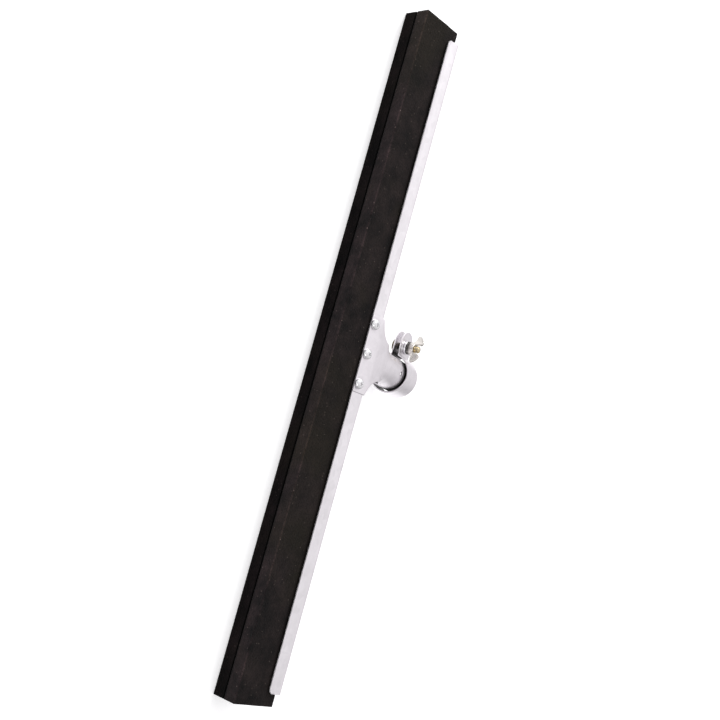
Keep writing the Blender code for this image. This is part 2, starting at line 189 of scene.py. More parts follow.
def reach_along(tree, place, frame_matrix, column):
    """How far the shaded point lies along one axis of a frame, 0 to 2 for its X, Y or Z."""
    offset = make_node(tree, "ShaderNodeVectorMath", {0: place, 1: frame_matrix.translation},
                       operation="SUBTRACT").outputs[0]
    return make_node(tree, "ShaderNodeVectorMath", {0: offset, 1: frame_matrix.col[column].xyz},
                     operation="DOT_PRODUCT").outputs["Value"]


def mixed(tree, share, first, second, blend="MIX"):
    return make_node(tree, "ShaderNodeMixRGB", {"Fac": share, "Color1": first, "Color2": second},
                     blend_type=blend).outputs["Color"]


def foam_finish(name, tone):
    """Black cellular rubber: cut cells of two sizes, soft brown and olive patches, and specks of dust.

    The tips are painted paler and plum-tinted as a highlight, most of all along the front corner, and the
    slit has painted shade.
    """
    material, tree, shader = new_material(name)
    place = make_node(tree, "ShaderNodeTexCoord").outputs["Object"]
    patches = make_node(tree, "ShaderNodeTexNoise", {"Vector": place, "Scale": 60.0, "Detail": 6.0,
                                                     "Roughness": 0.66}).outputs["Fac"]
    tints = make_node(tree, "ShaderNodeTexNoise", {"Vector": place, "Scale": 17.0, "Detail": 2.0})
    cells = make_node(tree, "ShaderNodeTexVoronoi", {"Vector": place, "Scale": 820.0})
    fine_cells = make_node(tree, "ShaderNodeTexVoronoi", {"Vector": place, "Scale": 2100.0})
    dust = make_node(tree, "ShaderNodeTexVoronoi", {"Vector": place, "Scale": 430.0})
    base = make_node(tree, "ShaderNodeValToRGB", {"Fac": patches})
    base.color_ramp.elements[0].position = 0.34
    base.color_ramp.elements[0].color = (0.0012 * tone, 0.0009 * tone, 0.0009 * tone, 1)
    base.color_ramp.elements[1].position = 0.68
    base.color_ramp.elements[1].color = (0.0130 * tone, 0.0092 * tone, 0.0086 * tone, 1)
    olive = ramp(tree, tints.outputs["Fac"], 0.52, 0.68, 0.0, 0.55)
    tinted = mixed(tree, olive, base.outputs["Color"], (0.0100 * tone, 0.0080 * tone, 0.0046 * tone, 1))
    # Painted shade in the cell pits, with painted lighter rims round them
    pit_shade = ramp(tree, cells.outputs["Distance"], 0.05, 0.5, 0.25, 1.5)
    pitted = mixed(tree, 1.0, tinted, pit_shade, "MULTIPLY")
    lucky = make_node(tree, "ShaderNodeSeparateColor", {"Color": dust.outputs["Color"]}).outputs["Red"]
    rare = maths(tree, "GREATER_THAN", lucky, 0.86)
    small = maths(tree, "LESS_THAN", dust.outputs["Distance"], 0.16)
    specked = mixed(tree, maths(tree, "MULTIPLY", rare, small), pitted,
                    (0.075 * tone, 0.060 * tone, 0.050 * tone, 1))
    # Painted highlight on the tip faces and along the front corner, and painted shade in the slit
    tip = ramp(tree, reach_along(tree, place, HEAD, 2), 1.3 * MM, 0.4 * MM, 0.0, 0.28)
    corner = HEAD @ Vector((0, -LIP_OUTER + 0.1 * MM, 0.2 * MM))
    ridge = axis_distance(tree, place, corner, Vector((1, 0, 0)))
    corner_highlight = maths(tree, "MULTIPLY", ramp(tree, ridge, 1.0 * MM, 0.3 * MM, 0.0, 2.2), patches)
    tone_up = maths(tree, "ADD", maths(tree, "ADD", tip, corner_highlight), 0.95)
    slit = maths(tree, "ABSOLUTE", reach_along(tree, place, HEAD, 1))
    shaded = maths(tree, "MULTIPLY", tone_up, ramp(tree, slit, 0.5 * MM, 1.9 * MM, 0.15, 1.0))
    plum = mixed(tree, tip, (1, 1, 1, 1), (1.15, 0.85, 1.25, 1))
    shade = mixed(tree, 1.0, plum, shaded, "MULTIPLY")
    tree.links.new(mixed(tree, 1.0, specked, shade, "MULTIPLY"), shader.inputs["Base Color"])
    tree.links.new(ramp(tree, patches, 0.0, 1.0, 0.80, 0.97), shader.inputs["Roughness"])
    shader.inputs["Specular IOR Level"].default_value = 0.11 * tone
    shader.inputs["Sheen Weight"].default_value = 0.03 * tone
    shader.inputs["Sheen Roughness"].default_value = 0.55
    relief = maths(tree, "MULTIPLY_ADD", fine_cells.outputs["Distance"], 0.45, cells.outputs["Distance"])
    bump = make_node(tree, "ShaderNodeBump", {"Height": relief, "Strength": 0.9,
                                              "Distance": 0.00045})
    tree.links.new(bump.outputs["Normal"], shader.inputs["Normal"])
    return material


def smooth(low, high, value):
    t = min(max((value - low) / (high - low), 0.0), 1.0)
    return t * t * (3 - 2 * t)


def plain_mesh(piece):
    """The mesh that an object's live modifiers give."""
    graph = bpy.context.evaluated_depsgraph_get()
    return bpy.data.meshes.new_from_object(piece.evaluated_get(graph), depsgraph=graph)


def finished(piece, body, slot, *nodes):
    """Make the piece's live modifiers its mesh, and let it stand for its CAD nodes on their body."""
    mesh = plain_mesh(piece)
    piece.modifiers.clear()
    mesh.name = piece.name
    piece.data = mesh
    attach(piece, body)
    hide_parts(*nodes)


def mesh_from(name, bm):
    mesh = bpy.data.meshes.new(name)
    bm.to_mesh(mesh)
    bm.free()
    return mesh


def new_piece(name, bm, finish, sharp=35):
    """A visible piece, smooth but for the edges sharper than an angle in degrees."""
    mesh = mesh_from(name, bm)
    mesh.shade_smooth()
    mesh.set_sharp_from_angle(angle=math.radians(sharp))
    mesh.materials.append(finish)
    return add_object(name, mesh)


def lip_point(side, across, along_up, x):
    """A point of a lip before its cells are cut: across from 0 at the slit to 1 at the broad face."""
    z = along_up * LIP_TOP
    outer = LIP_OUTER + (LIP_GRIPPED - LIP_OUTER) * smooth(SWELL_FROM, SWELL_TO, z)
    shoulder = max(0.0, z - (LIP_TOP - LIP_SHOULDER))
    free = 1 - smooth(8 * MM, 29 * MM, z)
    wave = 0.22 * MM * free * noise.noise(Vector((x * 9.0, 4.0 * side, 0.3)))
    y = LIP_SLIT + (outer - shoulder - LIP_SLIT) * across
    return Vector((x, side * y + wave, z))


def make_lip(name, side, node, foam):
    """A closed box lattice bent to the lip's section, with sawn corners and rough, pitted faces."""
    across, high, long = 9, 32, 424         # squares of about 1.3 mm on every face
    bm = bmesh.new()
    grid = {}
    for i in range(across + 1):
        for j in range(high + 1):
            for k in range(long + 1):
                if i in (0, across) or j in (0, high) or k in (0, long):
                    x = (k / long - 0.5) * LIP_LENGTH
                    grid[i, j, k] = bm.verts.new(lip_point(side, i / across, j / high, x))

    def wall(cells_a, cells_b, corner):
        for a in range(cells_a):
            for b in range(cells_b):
                bm.faces.new([grid[corner(a + p, b + q)] for p, q in ((0, 0), (1, 0), (1, 1), (0, 1))])

    wall(high, long, lambda a, b: (0, a, b))
    wall(high, long, lambda a, b: (across, a, b))
    wall(across, long, lambda a, b: (a, 0, b))
    wall(across, long, lambda a, b: (a, high, b))
    wall(across, high, lambda a, b: (a, b, 0))
    wall(across, high, lambda a, b: (a, b, long))
    bmesh.ops.recalc_face_normals(bm, faces=bm.faces)
    bm.normal_update()
    moves = []
    for vert in bm.verts:
        spot = vert.co * 1000
        torn = noise.noise(spot * 0.55 + Vector((7.1 * side, 0, 0)))
        rough = noise.noise(spot * 0.16)
        moves.append(vert.normal * (0.045 * MM * rough - 0.10 * MM * max(0.0, torn - 0.15)
                                    - 0.10 * MM))
    for vert, move in zip(bm.verts, moves):
        vert.co += move
    bm.transform(HEAD)
    lip = new_piece(name, bm, foam, sharp=60)
    worn = lip.modifiers.new("worn_corners", "BEVEL")
    worn.width = 0.45 * MM
    worn.segments = 2
    worn.limit_method = "ANGLE"
    worn.angle_limit = math.radians(55)
    finished(lip, "root", "foam_rubber", node)
    lip.data.shade_smooth()


make_lip("foam_lip_front", -1, "front_blade", foam_finish("foam_rubber", 1.0))
# The rear lip's foam is a darker copy of the same rubber: its low tone is painted shade.
make_lip("foam_lip_rear", 1, "rear_blade", foam_finish("foam_rubber_shaded", 0.35))

# ---- Frame channel
# A long U of galvanised steel sheet, cut with rounded corners and folded on a press over the roots of the
# lips. The lower edges are turned out a hair, and the screws pull the flanges straight at the socket.
SHEET = 1.2 * MM
CHANNEL_LENGTH = 530 * MM
CHANNEL_HALF_WIDTH = 13.2 * MM
CHANNEL_BOTTOM = 29.3 * MM
CHANNEL_TOP = 42.6 * MM
CHANNEL_FOLD = 3.0 * MM
CHANNEL_CORNER = 4.5 * MM
CHANNEL_LIP = 0.45 * MM             # how far the lower edge is turned out
PLATE_HALF_LENGTH = 31 * MM
# The near-black colour mixed in as painted shade in gaps, hollows and shadowed ends
PAINTED_SHADE = (0.012, 0.011, 0.010, 1)


def sheet_finish(name, colour, roughness, spangle, streak, shade_mask=None):
    """Zinc-coated sheet: faint crystals, stains, a fine mottled skin, and rolling streaks along X, Y or Z.

    The optional mask function gives the share of painted shade at each point, where the sheet has any.
    """
    material, tree, shader = new_material(name)
    place = make_node(tree, "ShaderNodeTexCoord").outputs["Object"]
    crystals = make_node(tree, "ShaderNodeTexVoronoi", {"Vector": place, "Scale": 210.0})
    shade = make_node(tree, "ShaderNodeSeparateColor", {"Color": crystals.outputs["Color"]})
    stretch = [420.0, 420.0, 420.0]
    stretch["XYZ".index(streak)] = 9.0
    rolled = make_node(tree, "ShaderNodeMapping", {"Vector": place, "Scale": stretch})
    streaks = make_node(tree, "ShaderNodeTexNoise", {"Vector": rolled.outputs["Vector"], "Scale": 1.0,
                                                     "Detail": 3.0}).outputs["Fac"]
    stains = make_node(tree, "ShaderNodeTexNoise", {"Vector": place, "Scale": 70.0, "Detail": 5.0,
                                                    "Roughness": 0.65}).outputs["Fac"]
    mottle = make_node(tree, "ShaderNodeTexNoise", {"Vector": place, "Scale": 620.0, "Detail": 2.0})
    grey = maths(tree, "MULTIPLY_ADD", shade.outputs["Red"], spangle, 0.93)
    lined = maths(tree, "MULTIPLY_ADD", streaks, 0.07, grey)
    value = maths(tree, "MULTIPLY", lined, ramp(tree, stains, 0.35, 0.75, 1.02, 0.93))
    coat = mixed(tree, 1.0, (*colour, 1), value, "MULTIPLY")
    if shade_mask:
        # painted shade mixed into the coat where the mask says
        coat = mixed(tree, shade_mask(tree, place), coat, PAINTED_SHADE)
    tree.links.new(coat, shader.inputs["Base Color"])
    shader.inputs["Metallic"].default_value = 1.0
    satin = ramp(tree, stains, 0.3, 0.7, roughness - 0.06, roughness + 0.10)
    tree.links.new(maths(tree, "MULTIPLY_ADD", streaks, 0.12, satin), shader.inputs["Roughness"])
    skin = maths(tree, "MULTIPLY_ADD", mottle.outputs["Fac"], 0.5, streaks)
    bump = make_node(tree, "ShaderNodeBump", {"Height": skin, "Strength": 0.35, "Distance": 0.00006})
    tree.links.new(bump.outputs["Normal"], shader.inputs["Normal"])
    return material


def turn(radius, start, end, steps, centre=(0.0, 0.0)):
    """Points on an arc, angles in degrees, both ends included."""
    points = []
    for i in range(steps + 1):
        angle = math.radians(start + (end - start) * i / steps)
        points.append((centre[0] + radius * math.cos(angle), centre[1] + radius * math.sin(angle)))
    return points


def make_sheet(name, rows, place, finish, rim=0.28 * MM, holes=()):
    """A pressed sheet: rows of points on its outer face, a wall inwards, holes, and broken edges."""
    bm = bmesh.new()
    grid = [[bm.verts.new(point) for point in row] for row in rows]
    for near, far in zip(grid, grid[1:]):
        for i in range(len(near) - 1):
            bm.faces.new((near[i], near[i + 1], far[i + 1], far[i]))
    bm.transform(place)
    piece = new_piece(name, bm, finish, sharp=180)
    wall = piece.modifiers.new("wall", "SOLIDIFY")
    wall.thickness = SHEET
    wall.offset = -1
    wall.use_even_offset = True
    for cutter in holes:
        cut = piece.modifiers.new("hole", "BOOLEAN")
        cut.object = cutter
        cut.solver = "EXACT"
    broken = piece.modifiers.new("broken_edges", "BEVEL")
    broken.width = rim
    broken.segments = 2
    broken.limit_method = "ANGLE"
    broken.angle_limit = math.radians(50)
    return piece


galvanised = sheet_finish("galvanised_sheet", (0.80, 0.775, 0.80), 0.34, 0.07, "X")
corner_steps = [CHANNEL_CORNER * (1 - math.cos(math.radians(a))) for a in (0, 15, 30, 45, 60, 75, 90)]
half_stations = [CHANNEL_LENGTH / 2 - step for step in corner_steps]
inner_count = 60
inner_end = half_stations[-1]
stations = ([-x for x in half_stations]
            + [inner_end * (2 * i / inner_count - 1) for i in range(1, inner_count)]
            + half_stations[::-1])
rows = []
for x in stations:
    past = max(0.0, abs(x) - (CHANNEL_LENGTH / 2 - CHANNEL_CORNER))
    low = CHANNEL_BOTTOM + CHANNEL_CORNER - math.sqrt(max(0.0, CHANNEL_CORNER ** 2 - past ** 2))
    fold_z = CHANNEL_TOP - CHANNEL_FOLD
    fold_y = CHANNEL_HALF_WIDTH - CHANNEL_FOLD
    loose = smooth(PLATE_HALF_LENGTH, PLATE_HALF_LENGTH + 14 * MM, abs(x))
    front = []
    for i in range(7):
        z = low + (fold_z - low) * (i / 6) ** 1.6
        lip = CHANNEL_LIP * loose * (1 - smooth(0, 1.6 * MM, z - low))
        dent = 0.10 * MM * loose * noise.noise(Vector((x * 14.0, z * 40.0, 0.0)))
        front.append((-CHANNEL_HALF_WIDTH - lip + dent, z))
    over = turn(CHANNEL_FOLD, 180, 90, 8, (-fold_y, fold_z))[1:] + turn(CHANNEL_FOLD, 90, 0, 8,
                                                                         (fold_y, fold_z))
    section = front + over[:-1] + [(-y, z) for y, z in reversed(front)]
    rows.append([(x, y, z) for y, z in section])
channel = make_sheet("frame_channel_sheet", rows, HEAD, galvanised)
finished(channel, "root", "galvanised_sheet", "frame_channel")

# ---- Handle socket
# Two shells pressed from steel sheet. Each runs from a flat plate, screwed against the frame, through a
# narrowing neck into half a tube, and the two halves stand a hair apart along their seams.
SOCKET_LEAN = math.radians(19)
TUBE_RADIUS = 13.9 * MM
FLAT_TO, ROUND_AT, TUBE_END = 12 * MM, 46 * MM, 84 * MM
SEAM = 0.5 * MM
NECK_DECAY = 8 * MM
BEND_REACH = 3 * MM
PLATE_FACE = 14.7 * MM              # from the middle plane to a plate's outer face
HANDLE_HOLE_AT, HANDLE_HOLE_RADIUS = 53 * MM, 2.0 * MM


def crest(side, length):
    """Point and lean of the line along the middle of a shell, a length above its bend."""
    along = Vector((math.sin(SOCKET_LEAN), math.cos(SOCKET_LEAN)))
    outward = Vector((-math.cos(SOCKET_LEAN), math.sin(SOCKET_LEAN))) * -side
    start = Vector((0, SOCKET_BASE)) + outward * TUBE_RADIUS
    bend_at = (side * PLATE_FACE - start.x) / along.x
    corner = start + along * bend_at
    if length <= -BEND_REACH:
        return corner + Vector((0, length)), 0.0, bend_at
    if length >= BEND_REACH:
        return corner + along * length, SOCKET_LEAN, bend_at
    u = (length + BEND_REACH) / (2 * BEND_REACH)
    low, high = corner - Vector((0, BEND_REACH)), corner + along * BEND_REACH
    return low * (1 - u) ** 2 + corner * (2 * u * (1 - u)) + high * u ** 2, SOCKET_LEAN * u, bend_at


def shell_rows(side, across):
    corner, _, bend_at = crest(side, 0.0)
    foot = CHANNEL_BOTTOM - corner.y
    neck = ROUND_AT - bend_at
    lengths = [foot + (-BEND_REACH - foot) * i / 5 for i in range(5)]
    lengths += [-BEND_REACH + BEND_REACH * i / 5 for i in range(5)]
    lengths += [neck * (i / 34) ** 1.3 for i in range(35)]
    lengths += [neck + (TUBE_END - ROUND_AT) * i / 12 for i in range(1, 13)]
    seam_angle = math.pi / 2 - math.asin(SEAM / TUBE_RADIUS)
    rows = []
    for length in lengths:
        point, lean, bend_at = crest(side, length)
        half = PLATE_HALF_LENGTH
        if length > 0:
            half = TUBE_RADIUS + (PLATE_HALF_LENGTH - TUBE_RADIUS) * math.exp(-length / NECK_DECAY)
        roundness = smooth(FLAT_TO, ROUND_AT, length + bend_at)
        inward = Vector((math.cos(lean), -math.sin(lean))) * -side
        row = []
        for i in range(across + 1):
            v = 2 * i / across - 1
            flat_x, round_x = v * half, TUBE_RADIUS * math.sin(v * seam_angle)
            depth = roundness * TUBE_RADIUS * (1 - math.cos(v * seam_angle))
            spot = point + inward * depth
            row.append((flat_x + (round_x - flat_x) * roundness, spot.x, spot.y))
        rows.append(row if side < 0 else row[::-1])
    return rows


def rod_cutter(name, radius, start, end, place):
    """A hidden rod along Z that takes a round hole out of a sheet."""
    bm = bmesh.new()
    bmesh.ops.create_cone(bm, cap_ends=True, segments=40, radius1=radius, radius2=radius,
                          depth=end - start,
                          matrix=place @ Matrix.Translation((0, 0, (start + end) / 2)))
    cutter = add_object(name, mesh_from(name, bm))
    cutter.hide_render = True
    return cutter


def shell_painted_shade(tree, place):
    """Painted shade under the clamp band and inside the tube, and a painted shadow line on one sheared end of
    the plates.
    """
    along = reach_along(tree, place, SOCKET, 2)
    out = axis_distance(tree, place, SOCKET.translation, SOCKET.col[2].xyz)
    under = maths(tree, "MULTIPLY", ramp(tree, along, 58.6 * MM, 60.0 * MM),
                  ramp(tree, along, 81.6 * MM, 80.4 * MM))
    wall = ramp(tree, out, TUBE_RADIUS - 0.7 * MM, TUBE_RADIUS - 1.0 * MM, 0.0, 0.85)
    inside = maths(tree, "MULTIPLY", wall, ramp(tree, along, 44 * MM, 50 * MM))
    side = make_node(tree, "ShaderNodeSeparateXYZ", {"Vector": place}).outputs["X"]
    sheared = ramp(tree, side, PLATE_HALF_LENGTH - 0.30 * MM, PLATE_HALF_LENGTH - 0.12 * MM, 0.0, 0.9)
    return maths(tree, "MAXIMUM", maths(tree, "MAXIMUM", under, inside), sheared)


# This finish carries painted shade under the band, inside the tube and along one plate end.
pressed = sheet_finish("pressed_sheet", (0.785, 0.755, 0.785), 0.33, 0.05, "Y", shade_mask=shell_painted_shade)
handle_hole = rod_cutter("handle_hole", HANDLE_HOLE_RADIUS, 8 * MM, 20 * MM,
                         SOCKET @ Matrix.Translation((0, 0, HANDLE_HOLE_AT))
                         @ Matrix.Rotation(math.radians(90), 4, "X"))
front_shell = make_sheet("socket_shell_front", shell_rows(-1, 44), HEAD, pressed, holes=[handle_hole])
finished(front_shell, "root", "pressed_sheet", "socket_front_shell")
rear_shell = make_sheet("socket_shell_rear", shell_rows(1, 44), HEAD, pressed)
finished(rear_shell, "root", "pressed_sheet", "socket_rear_shell")
bpy.data.objects.remove(handle_hole)

# ---- Clamp band
# A strap of the same sheet, bent round the tube, with its two round-ended ears left open for the bolt. It
# hangs loosely on the empty socket, and closes on the shells when the wing nut pulls the ears together.
BAND_OUTER = 17.1 * MM
BAND_START, BAND_WIDTH = 59 * MM, 22 * MM
FRONT_EAR, REAR_EAR = 4.2 * MM, 2.7 * MM        # from the tube's middle plane to an ear's outer face
EAR_REACH = 38.5 * MM
EAR_ROUND = 10.5 * MM
EAR_BEND = 2.0 * MM
BAND_MIDDLE = BAND_START + BAND_WIDTH / 2


def half_strap(ear_face):
    """Path from an ear's end to the far side of the tube, as (x, height off the middle plane)."""
    bend_c = ear_face + EAR_BEND
    bend_x = -math.sqrt((BAND_OUTER + EAR_BEND) ** 2 - bend_c ** 2)
    bend_angle = math.degrees(math.atan2(bend_c, bend_x))
    points = [(-EAR_REACH + EAR_ROUND * (1 - math.cos(math.radians(a))), ear_face)
              for a in range(0, 91, 9)]
    rounded_to = points[-1][0]
    points += [(rounded_to + (bend_x - rounded_to) * i / 8, ear_face) for i in range(1, 9)]
    points += turn(EAR_BEND, -90, bend_angle - 180, 6, (bend_x, bend_c))[1:]
    return points + turn(BAND_OUTER, bend_angle, 0, 40)[1:]


path = half_strap(FRONT_EAR) + [(x, -c) for x, c in half_strap(REAR_EAR)[-2::-1]]
rows = []
for x, c in path:
    past = max(0.0, (EAR_ROUND - EAR_REACH) - x)
    half = BAND_WIDTH / 2 - EAR_ROUND + math.sqrt(max(0.0, EAR_ROUND ** 2 - past ** 2))
    rows.append([(x, -c, BAND_MIDDLE + half * (1 - 2 * i / 14)) for i in range(15)])


def band_painted_shade(tree, place):
    """Painted shade inside the band and in the notch between the ears' roots; none on the outer faces."""
    out = axis_distance(tree, place, SOCKET.translation, SOCKET.col[2].xyz)
    inside = ramp(tree, out, BAND_OUTER - 0.80 * MM, BAND_OUTER - 1.10 * MM)
    up = reach_along(tree, place, BOLT, 2)
    side = make_node(tree, "ShaderNodeSeparateXYZ", {"Vector": place}).outputs["X"]
    between = maths(tree, "MULTIPLY", ramp(tree, up, -REAR_EAR + 0.35 * MM, -REAR_EAR + 0.8 * MM),
                    ramp(tree, up, FRONT_EAR - 0.35 * MM, FRONT_EAR - 0.8 * MM))
    near = maths(tree, "MULTIPLY", ramp(tree, out, 25.0 * MM, 18.5 * MM),
                 ramp(tree, side, -11 * MM, -13 * MM))
    return maths(tree, "MAXIMUM", inside, maths(tree, "MULTIPLY", between, near))


# This finish carries painted shade inside the band and in the notch between the ears.
strap_sheet = sheet_finish("strap_sheet", (0.785, 0.755, 0.785), 0.30, 0.05, "X", shade_mask=band_painted_shade)
bolt_hole = rod_cutter("bolt_hole", 3.3 * MM, -9 * MM, 9 * MM, BOLT)
band = make_sheet("clamp_band_strap", rows, SOCKET, strap_sheet, rim=0.3 * MM, holes=[bolt_hole])
finished(band, "root", "pressed_sheet", "clamp_band")
bpy.data.objects.remove(bolt_hole)

# ---- Clamp bolt
# An M6 hexagon bolt with yellow passivated zinc, threaded right up to its head, which bears on the rear
# ear. The head's corners are turned off at 30 degrees, and the thread is rolled to a 1 mm pitch.
BOLT_SEAT = -3.0 * MM
BOLT_RADIUS, BOLT_PITCH = 2.97 * MM, 1.0 * MM
BOLT_LENGTH = 20 * MM
BOLT_FLATS, BOLT_HEAD = 10 * MM, 4 * MM


def plated_finish(name, colour, other, roughness, patch_scale, shade_mask=None):
    """Bright plating over steel: two tints in soft patches, uneven polish and tiny pits.

    The optional mask function for painted shade is the same as in sheet_finish.
    """
    material, tree, shader = new_material(name)
    place = make_node(tree, "ShaderNodeTexCoord").outputs["Object"]
    patches = make_node(tree, "ShaderNodeTexNoise", {"Vector": place, "Scale": patch_scale,
                                                     "Detail": 4.0}).outputs["Fac"]
    coat = mixed(tree, ramp(tree, patches, 0.38, 0.66), (*colour, 1), (*other, 1))
    if shade_mask:
        # painted shade mixed into the plating where the mask says
        coat = mixed(tree, shade_mask(tree, place), coat, PAINTED_SHADE)
    tree.links.new(coat, shader.inputs["Base Color"])
    shader.inputs["Metallic"].default_value = 1.0
    fine = make_node(tree, "ShaderNodeTexNoise", {"Vector": place, "Scale": 1900.0,
                                                  "Detail": 3.0}).outputs["Fac"]
    tree.links.new(ramp(tree, patches, 0.3, 0.7, roughness * 0.75, roughness * 1.5),
                   shader.inputs["Roughness"])
    bump = make_node(tree, "ShaderNodeBump", {"Height": fine, "Strength": 0.4, "Distance": 0.00003})
    tree.links.new(bump.outputs["Normal"], shader.inputs["Normal"])
    return material


def thread_tree():
    """Geometry nodes: a rod along Z whose surface winds in a V thread, with a turned point at its end."""
    tree = bpy.data.node_groups.new("threaded_rod", "GeometryNodeTree")
    for name, kind in (("Radius", "Float"), ("Pitch", "Float"), ("Depth", "Float"), ("Length", "Float"),
                       ("Point", "Float"), ("Start", "Float"), ("Rows", "Int"), ("Finish", "Material")):
        tree.interface.new_socket(name, in_out="INPUT", socket_type="NodeSocket" + kind)
    tree.interface.new_socket("Geometry", in_out="OUTPUT", socket_type="NodeSocketGeometry")
    given = tree.nodes.new("NodeGroupInput").outputs
    rod = make_node(tree, "GeometryNodeMeshCylinder",
                    {"Vertices": 36, "Side Segments": given["Rows"], "Radius": given["Radius"],
                     "Depth": given["Length"]}, fill_type="NGON").outputs["Mesh"]

    at = make_node(tree, "ShaderNodeSeparateXYZ",
                   {"Vector": make_node(tree, "GeometryNodeInputPosition").outputs[0]}).outputs
    angle = maths(tree, "DIVIDE", maths(tree, "ARCTAN2", at["Y"], at["X"]), 2 * math.pi)
    phase = maths(tree, "SUBTRACT", maths(tree, "DIVIDE", at["Z"], given["Pitch"]), angle)
    ridge = maths(tree, "MULTIPLY", maths(tree, "PINGPONG", phase, 0.5), 2.0)
    flanks = ramp(tree, ridge, 0.14, 0.86)
    cut = maths(tree, "MULTIPLY", maths(tree, "SUBTRACT", 1.0, flanks), given["Depth"])
    threaded = maths(tree, "SUBTRACT", given["Radius"], cut)
    end = maths(tree, "MULTIPLY", given["Length"], 0.5)
    point_from = maths(tree, "SUBTRACT", end, given["Point"])
    beyond = maths(tree, "MAXIMUM", maths(tree, "SUBTRACT", at["Z"], point_from), 0.0)
    pointed = maths(tree, "MINIMUM", threaded, maths(tree, "SUBTRACT", given["Radius"], beyond))
    ratio = maths(tree, "DIVIDE", pointed, given["Radius"])
    shift = maths(tree, "ADD", end, given["Start"])
    spot = make_node(tree, "ShaderNodeCombineXYZ", {"X": maths(tree, "MULTIPLY", at["X"], ratio),
                                                    "Y": maths(tree, "MULTIPLY", at["Y"], ratio),
                                                    "Z": maths(tree, "ADD", at["Z"], shift)})
    wound = make_node(tree, "GeometryNodeSetPosition", {"Geometry": rod, "Position": spot.outputs[0]})
    whole = make_node(tree, "GeometryNodeRealizeInstances", {"Geometry": wound.outputs[0]})
    coated = make_node(tree, "GeometryNodeSetMaterial", {"Geometry": whole.outputs[0],
                                                         "Material": given["Finish"]})
    tree.links.new(coated.outputs[0], tree.nodes.new("NodeGroupOutput").inputs[0])
    return tree


def grown_mesh(name, tree, values, start_mesh=None):
    """The plain mesh that a geometry tree makes, with each of its inputs set by the socket's identifier."""
    seed = add_object(name, start_mesh or bpy.data.meshes.new(name))
    modifier = seed.modifiers.new(name, "NODES")
    modifier.node_group = tree
    for item in tree.interface.items_tree:
        if item.in_out == "INPUT" and item.name in values:
            modifier[item.identifier] = values[item.name]
    bpy.context.view_layer.update()
    mesh = plain_mesh(seed)
    bpy.data.objects.remove(seed)
    return mesh


def turned(bm, profile, sides):
    """Turn a closed profile of (radius, height) points round Z."""
    rings = []
    for i in range(sides):
        angle = 2 * math.pi * i / sides
        rings.append([bm.verts.new((r * math.cos(angle), r * math.sin(angle), h)) for r, h in profile])
    for i in range(sides):
        near, far = rings[i], rings[(i + 1) % sides]
        for k in range(len(profile)):
            m = (k + 1) % len(profile)
            if profile[k][0] > 0 or profile[m][0] > 0:
                bm.faces.new((near[k], near[m], far[m], far[k]))
    bmesh.ops.remove_doubles(bm, verts=bm.verts, dist=1e-7)
    bmesh.ops.recalc_face_normals(bm, faces=bm.faces)


def hexagon_blank(name, flats, low, high, finish, chamfers, bore=0.0):
    """A hexagon with its corners turned off at its low end, its high end or both, and a bore for a nut."""
    bm = bmesh.new()
    reach = flats / 2 + 0.05 * MM
    corner = flats / math.sqrt(3) + 0.2 * MM
    drop = (corner - reach) * math.tan(math.radians(30))
    profile = [(bore, low), (reach if "low" in chamfers else corner, low)]
    if "low" in chamfers:
        profile.append((corner, low + drop))
    if "high" in chamfers:
        profile += [(corner, high - drop), (reach, high)]
    else:
        profile.append((corner, high))
    profile.append((bore, high))
    turned(bm, profile, 72)
    blank = new_piece(name, bm, finish, sharp=25)
    bm = bmesh.new()
    bmesh.ops.create_cone(bm, cap_ends=True, segments=6, radius1=flats / math.sqrt(3),
                          radius2=flats / math.sqrt(3), depth=(high - low) * 2,
                          matrix=Matrix.Translation((0, 0, (low + high) / 2)))
    cutter = add_object("hexagon", mesh_from("hexagon", bm))
    shaped = blank.modifiers.new("hexagon", "BOOLEAN")
    shaped.operation = "INTERSECT"
    shaped.solver = "EXACT"
    shaped.object = cutter
    broken = blank.modifiers.new("broken_edges", "BEVEL")
    broken.width = 0.10 * MM
    broken.segments = 2
    broken.limit_method = "ANGLE"
    broken.angle_limit = math.radians(28)
    mesh = plain_mesh(blank)
    bpy.data.objects.remove(blank)
    bpy.data.objects.remove(cutter)
    return mesh


def joined(name, meshes, place, finish, sharp=32):
    """One piece from several meshes that share a frame."""
    bm = bmesh.new()
    for mesh in meshes:
        bm.from_mesh(mesh)
    bm.transform(place)
    return new_piece(name, bm, finish, sharp=sharp)


def bolt_painted_shade(tree, place):
    """Painted shade on the head and on the shank between the ears; none on the free end."""
    return ramp(tree, reach_along(tree, place, BOLT, 2), 5 * MM, 3 * MM, 0.0, 0.80)


# This plating carries painted shade on the bolt's head and on the shank between the ears.
yellow_zinc = plated_finish("yellow_zinc", (0.64, 0.51, 0.27), (0.46, 0.42, 0.34), 0.18, 420.0,
                            shade_mask=bolt_painted_shade)
threads = thread_tree()
bolt_head = hexagon_blank("bolt_head", BOLT_FLATS, BOLT_SEAT - BOLT_HEAD, BOLT_SEAT, yellow_zinc,
                          ("low",))
bolt_rod = grown_mesh("bolt_rod", threads, {
    "Radius": BOLT_RADIUS, "Pitch": BOLT_PITCH, "Depth": 0.58 * MM, "Length": BOLT_LENGTH + 0.5 * MM,
    "Point": 0.9 * MM, "Start": BOLT_SEAT - 0.5 * MM, "Rows": 210, "Finish": yellow_zinc})
bolt = joined("clamp_bolt_m6", [bolt_head, bolt_rod], BOLT, yellow_zinc, sharp=50)
finished(bolt, "root", "yellow_zinc", "clamp_bolt")

# ---- Clamp washer
# A stamped steel washer with bright zinc, between the front ear and the wing nut: the punch leaves one
# edge rounded and the other square.
WASHER_INNER, WASHER_OUTER, WASHER_THICK = 3.3 * MM, 6.0 * MM, 1.6 * MM
WASHER_SEAT = FRONT_EAR + 0.3 * MM


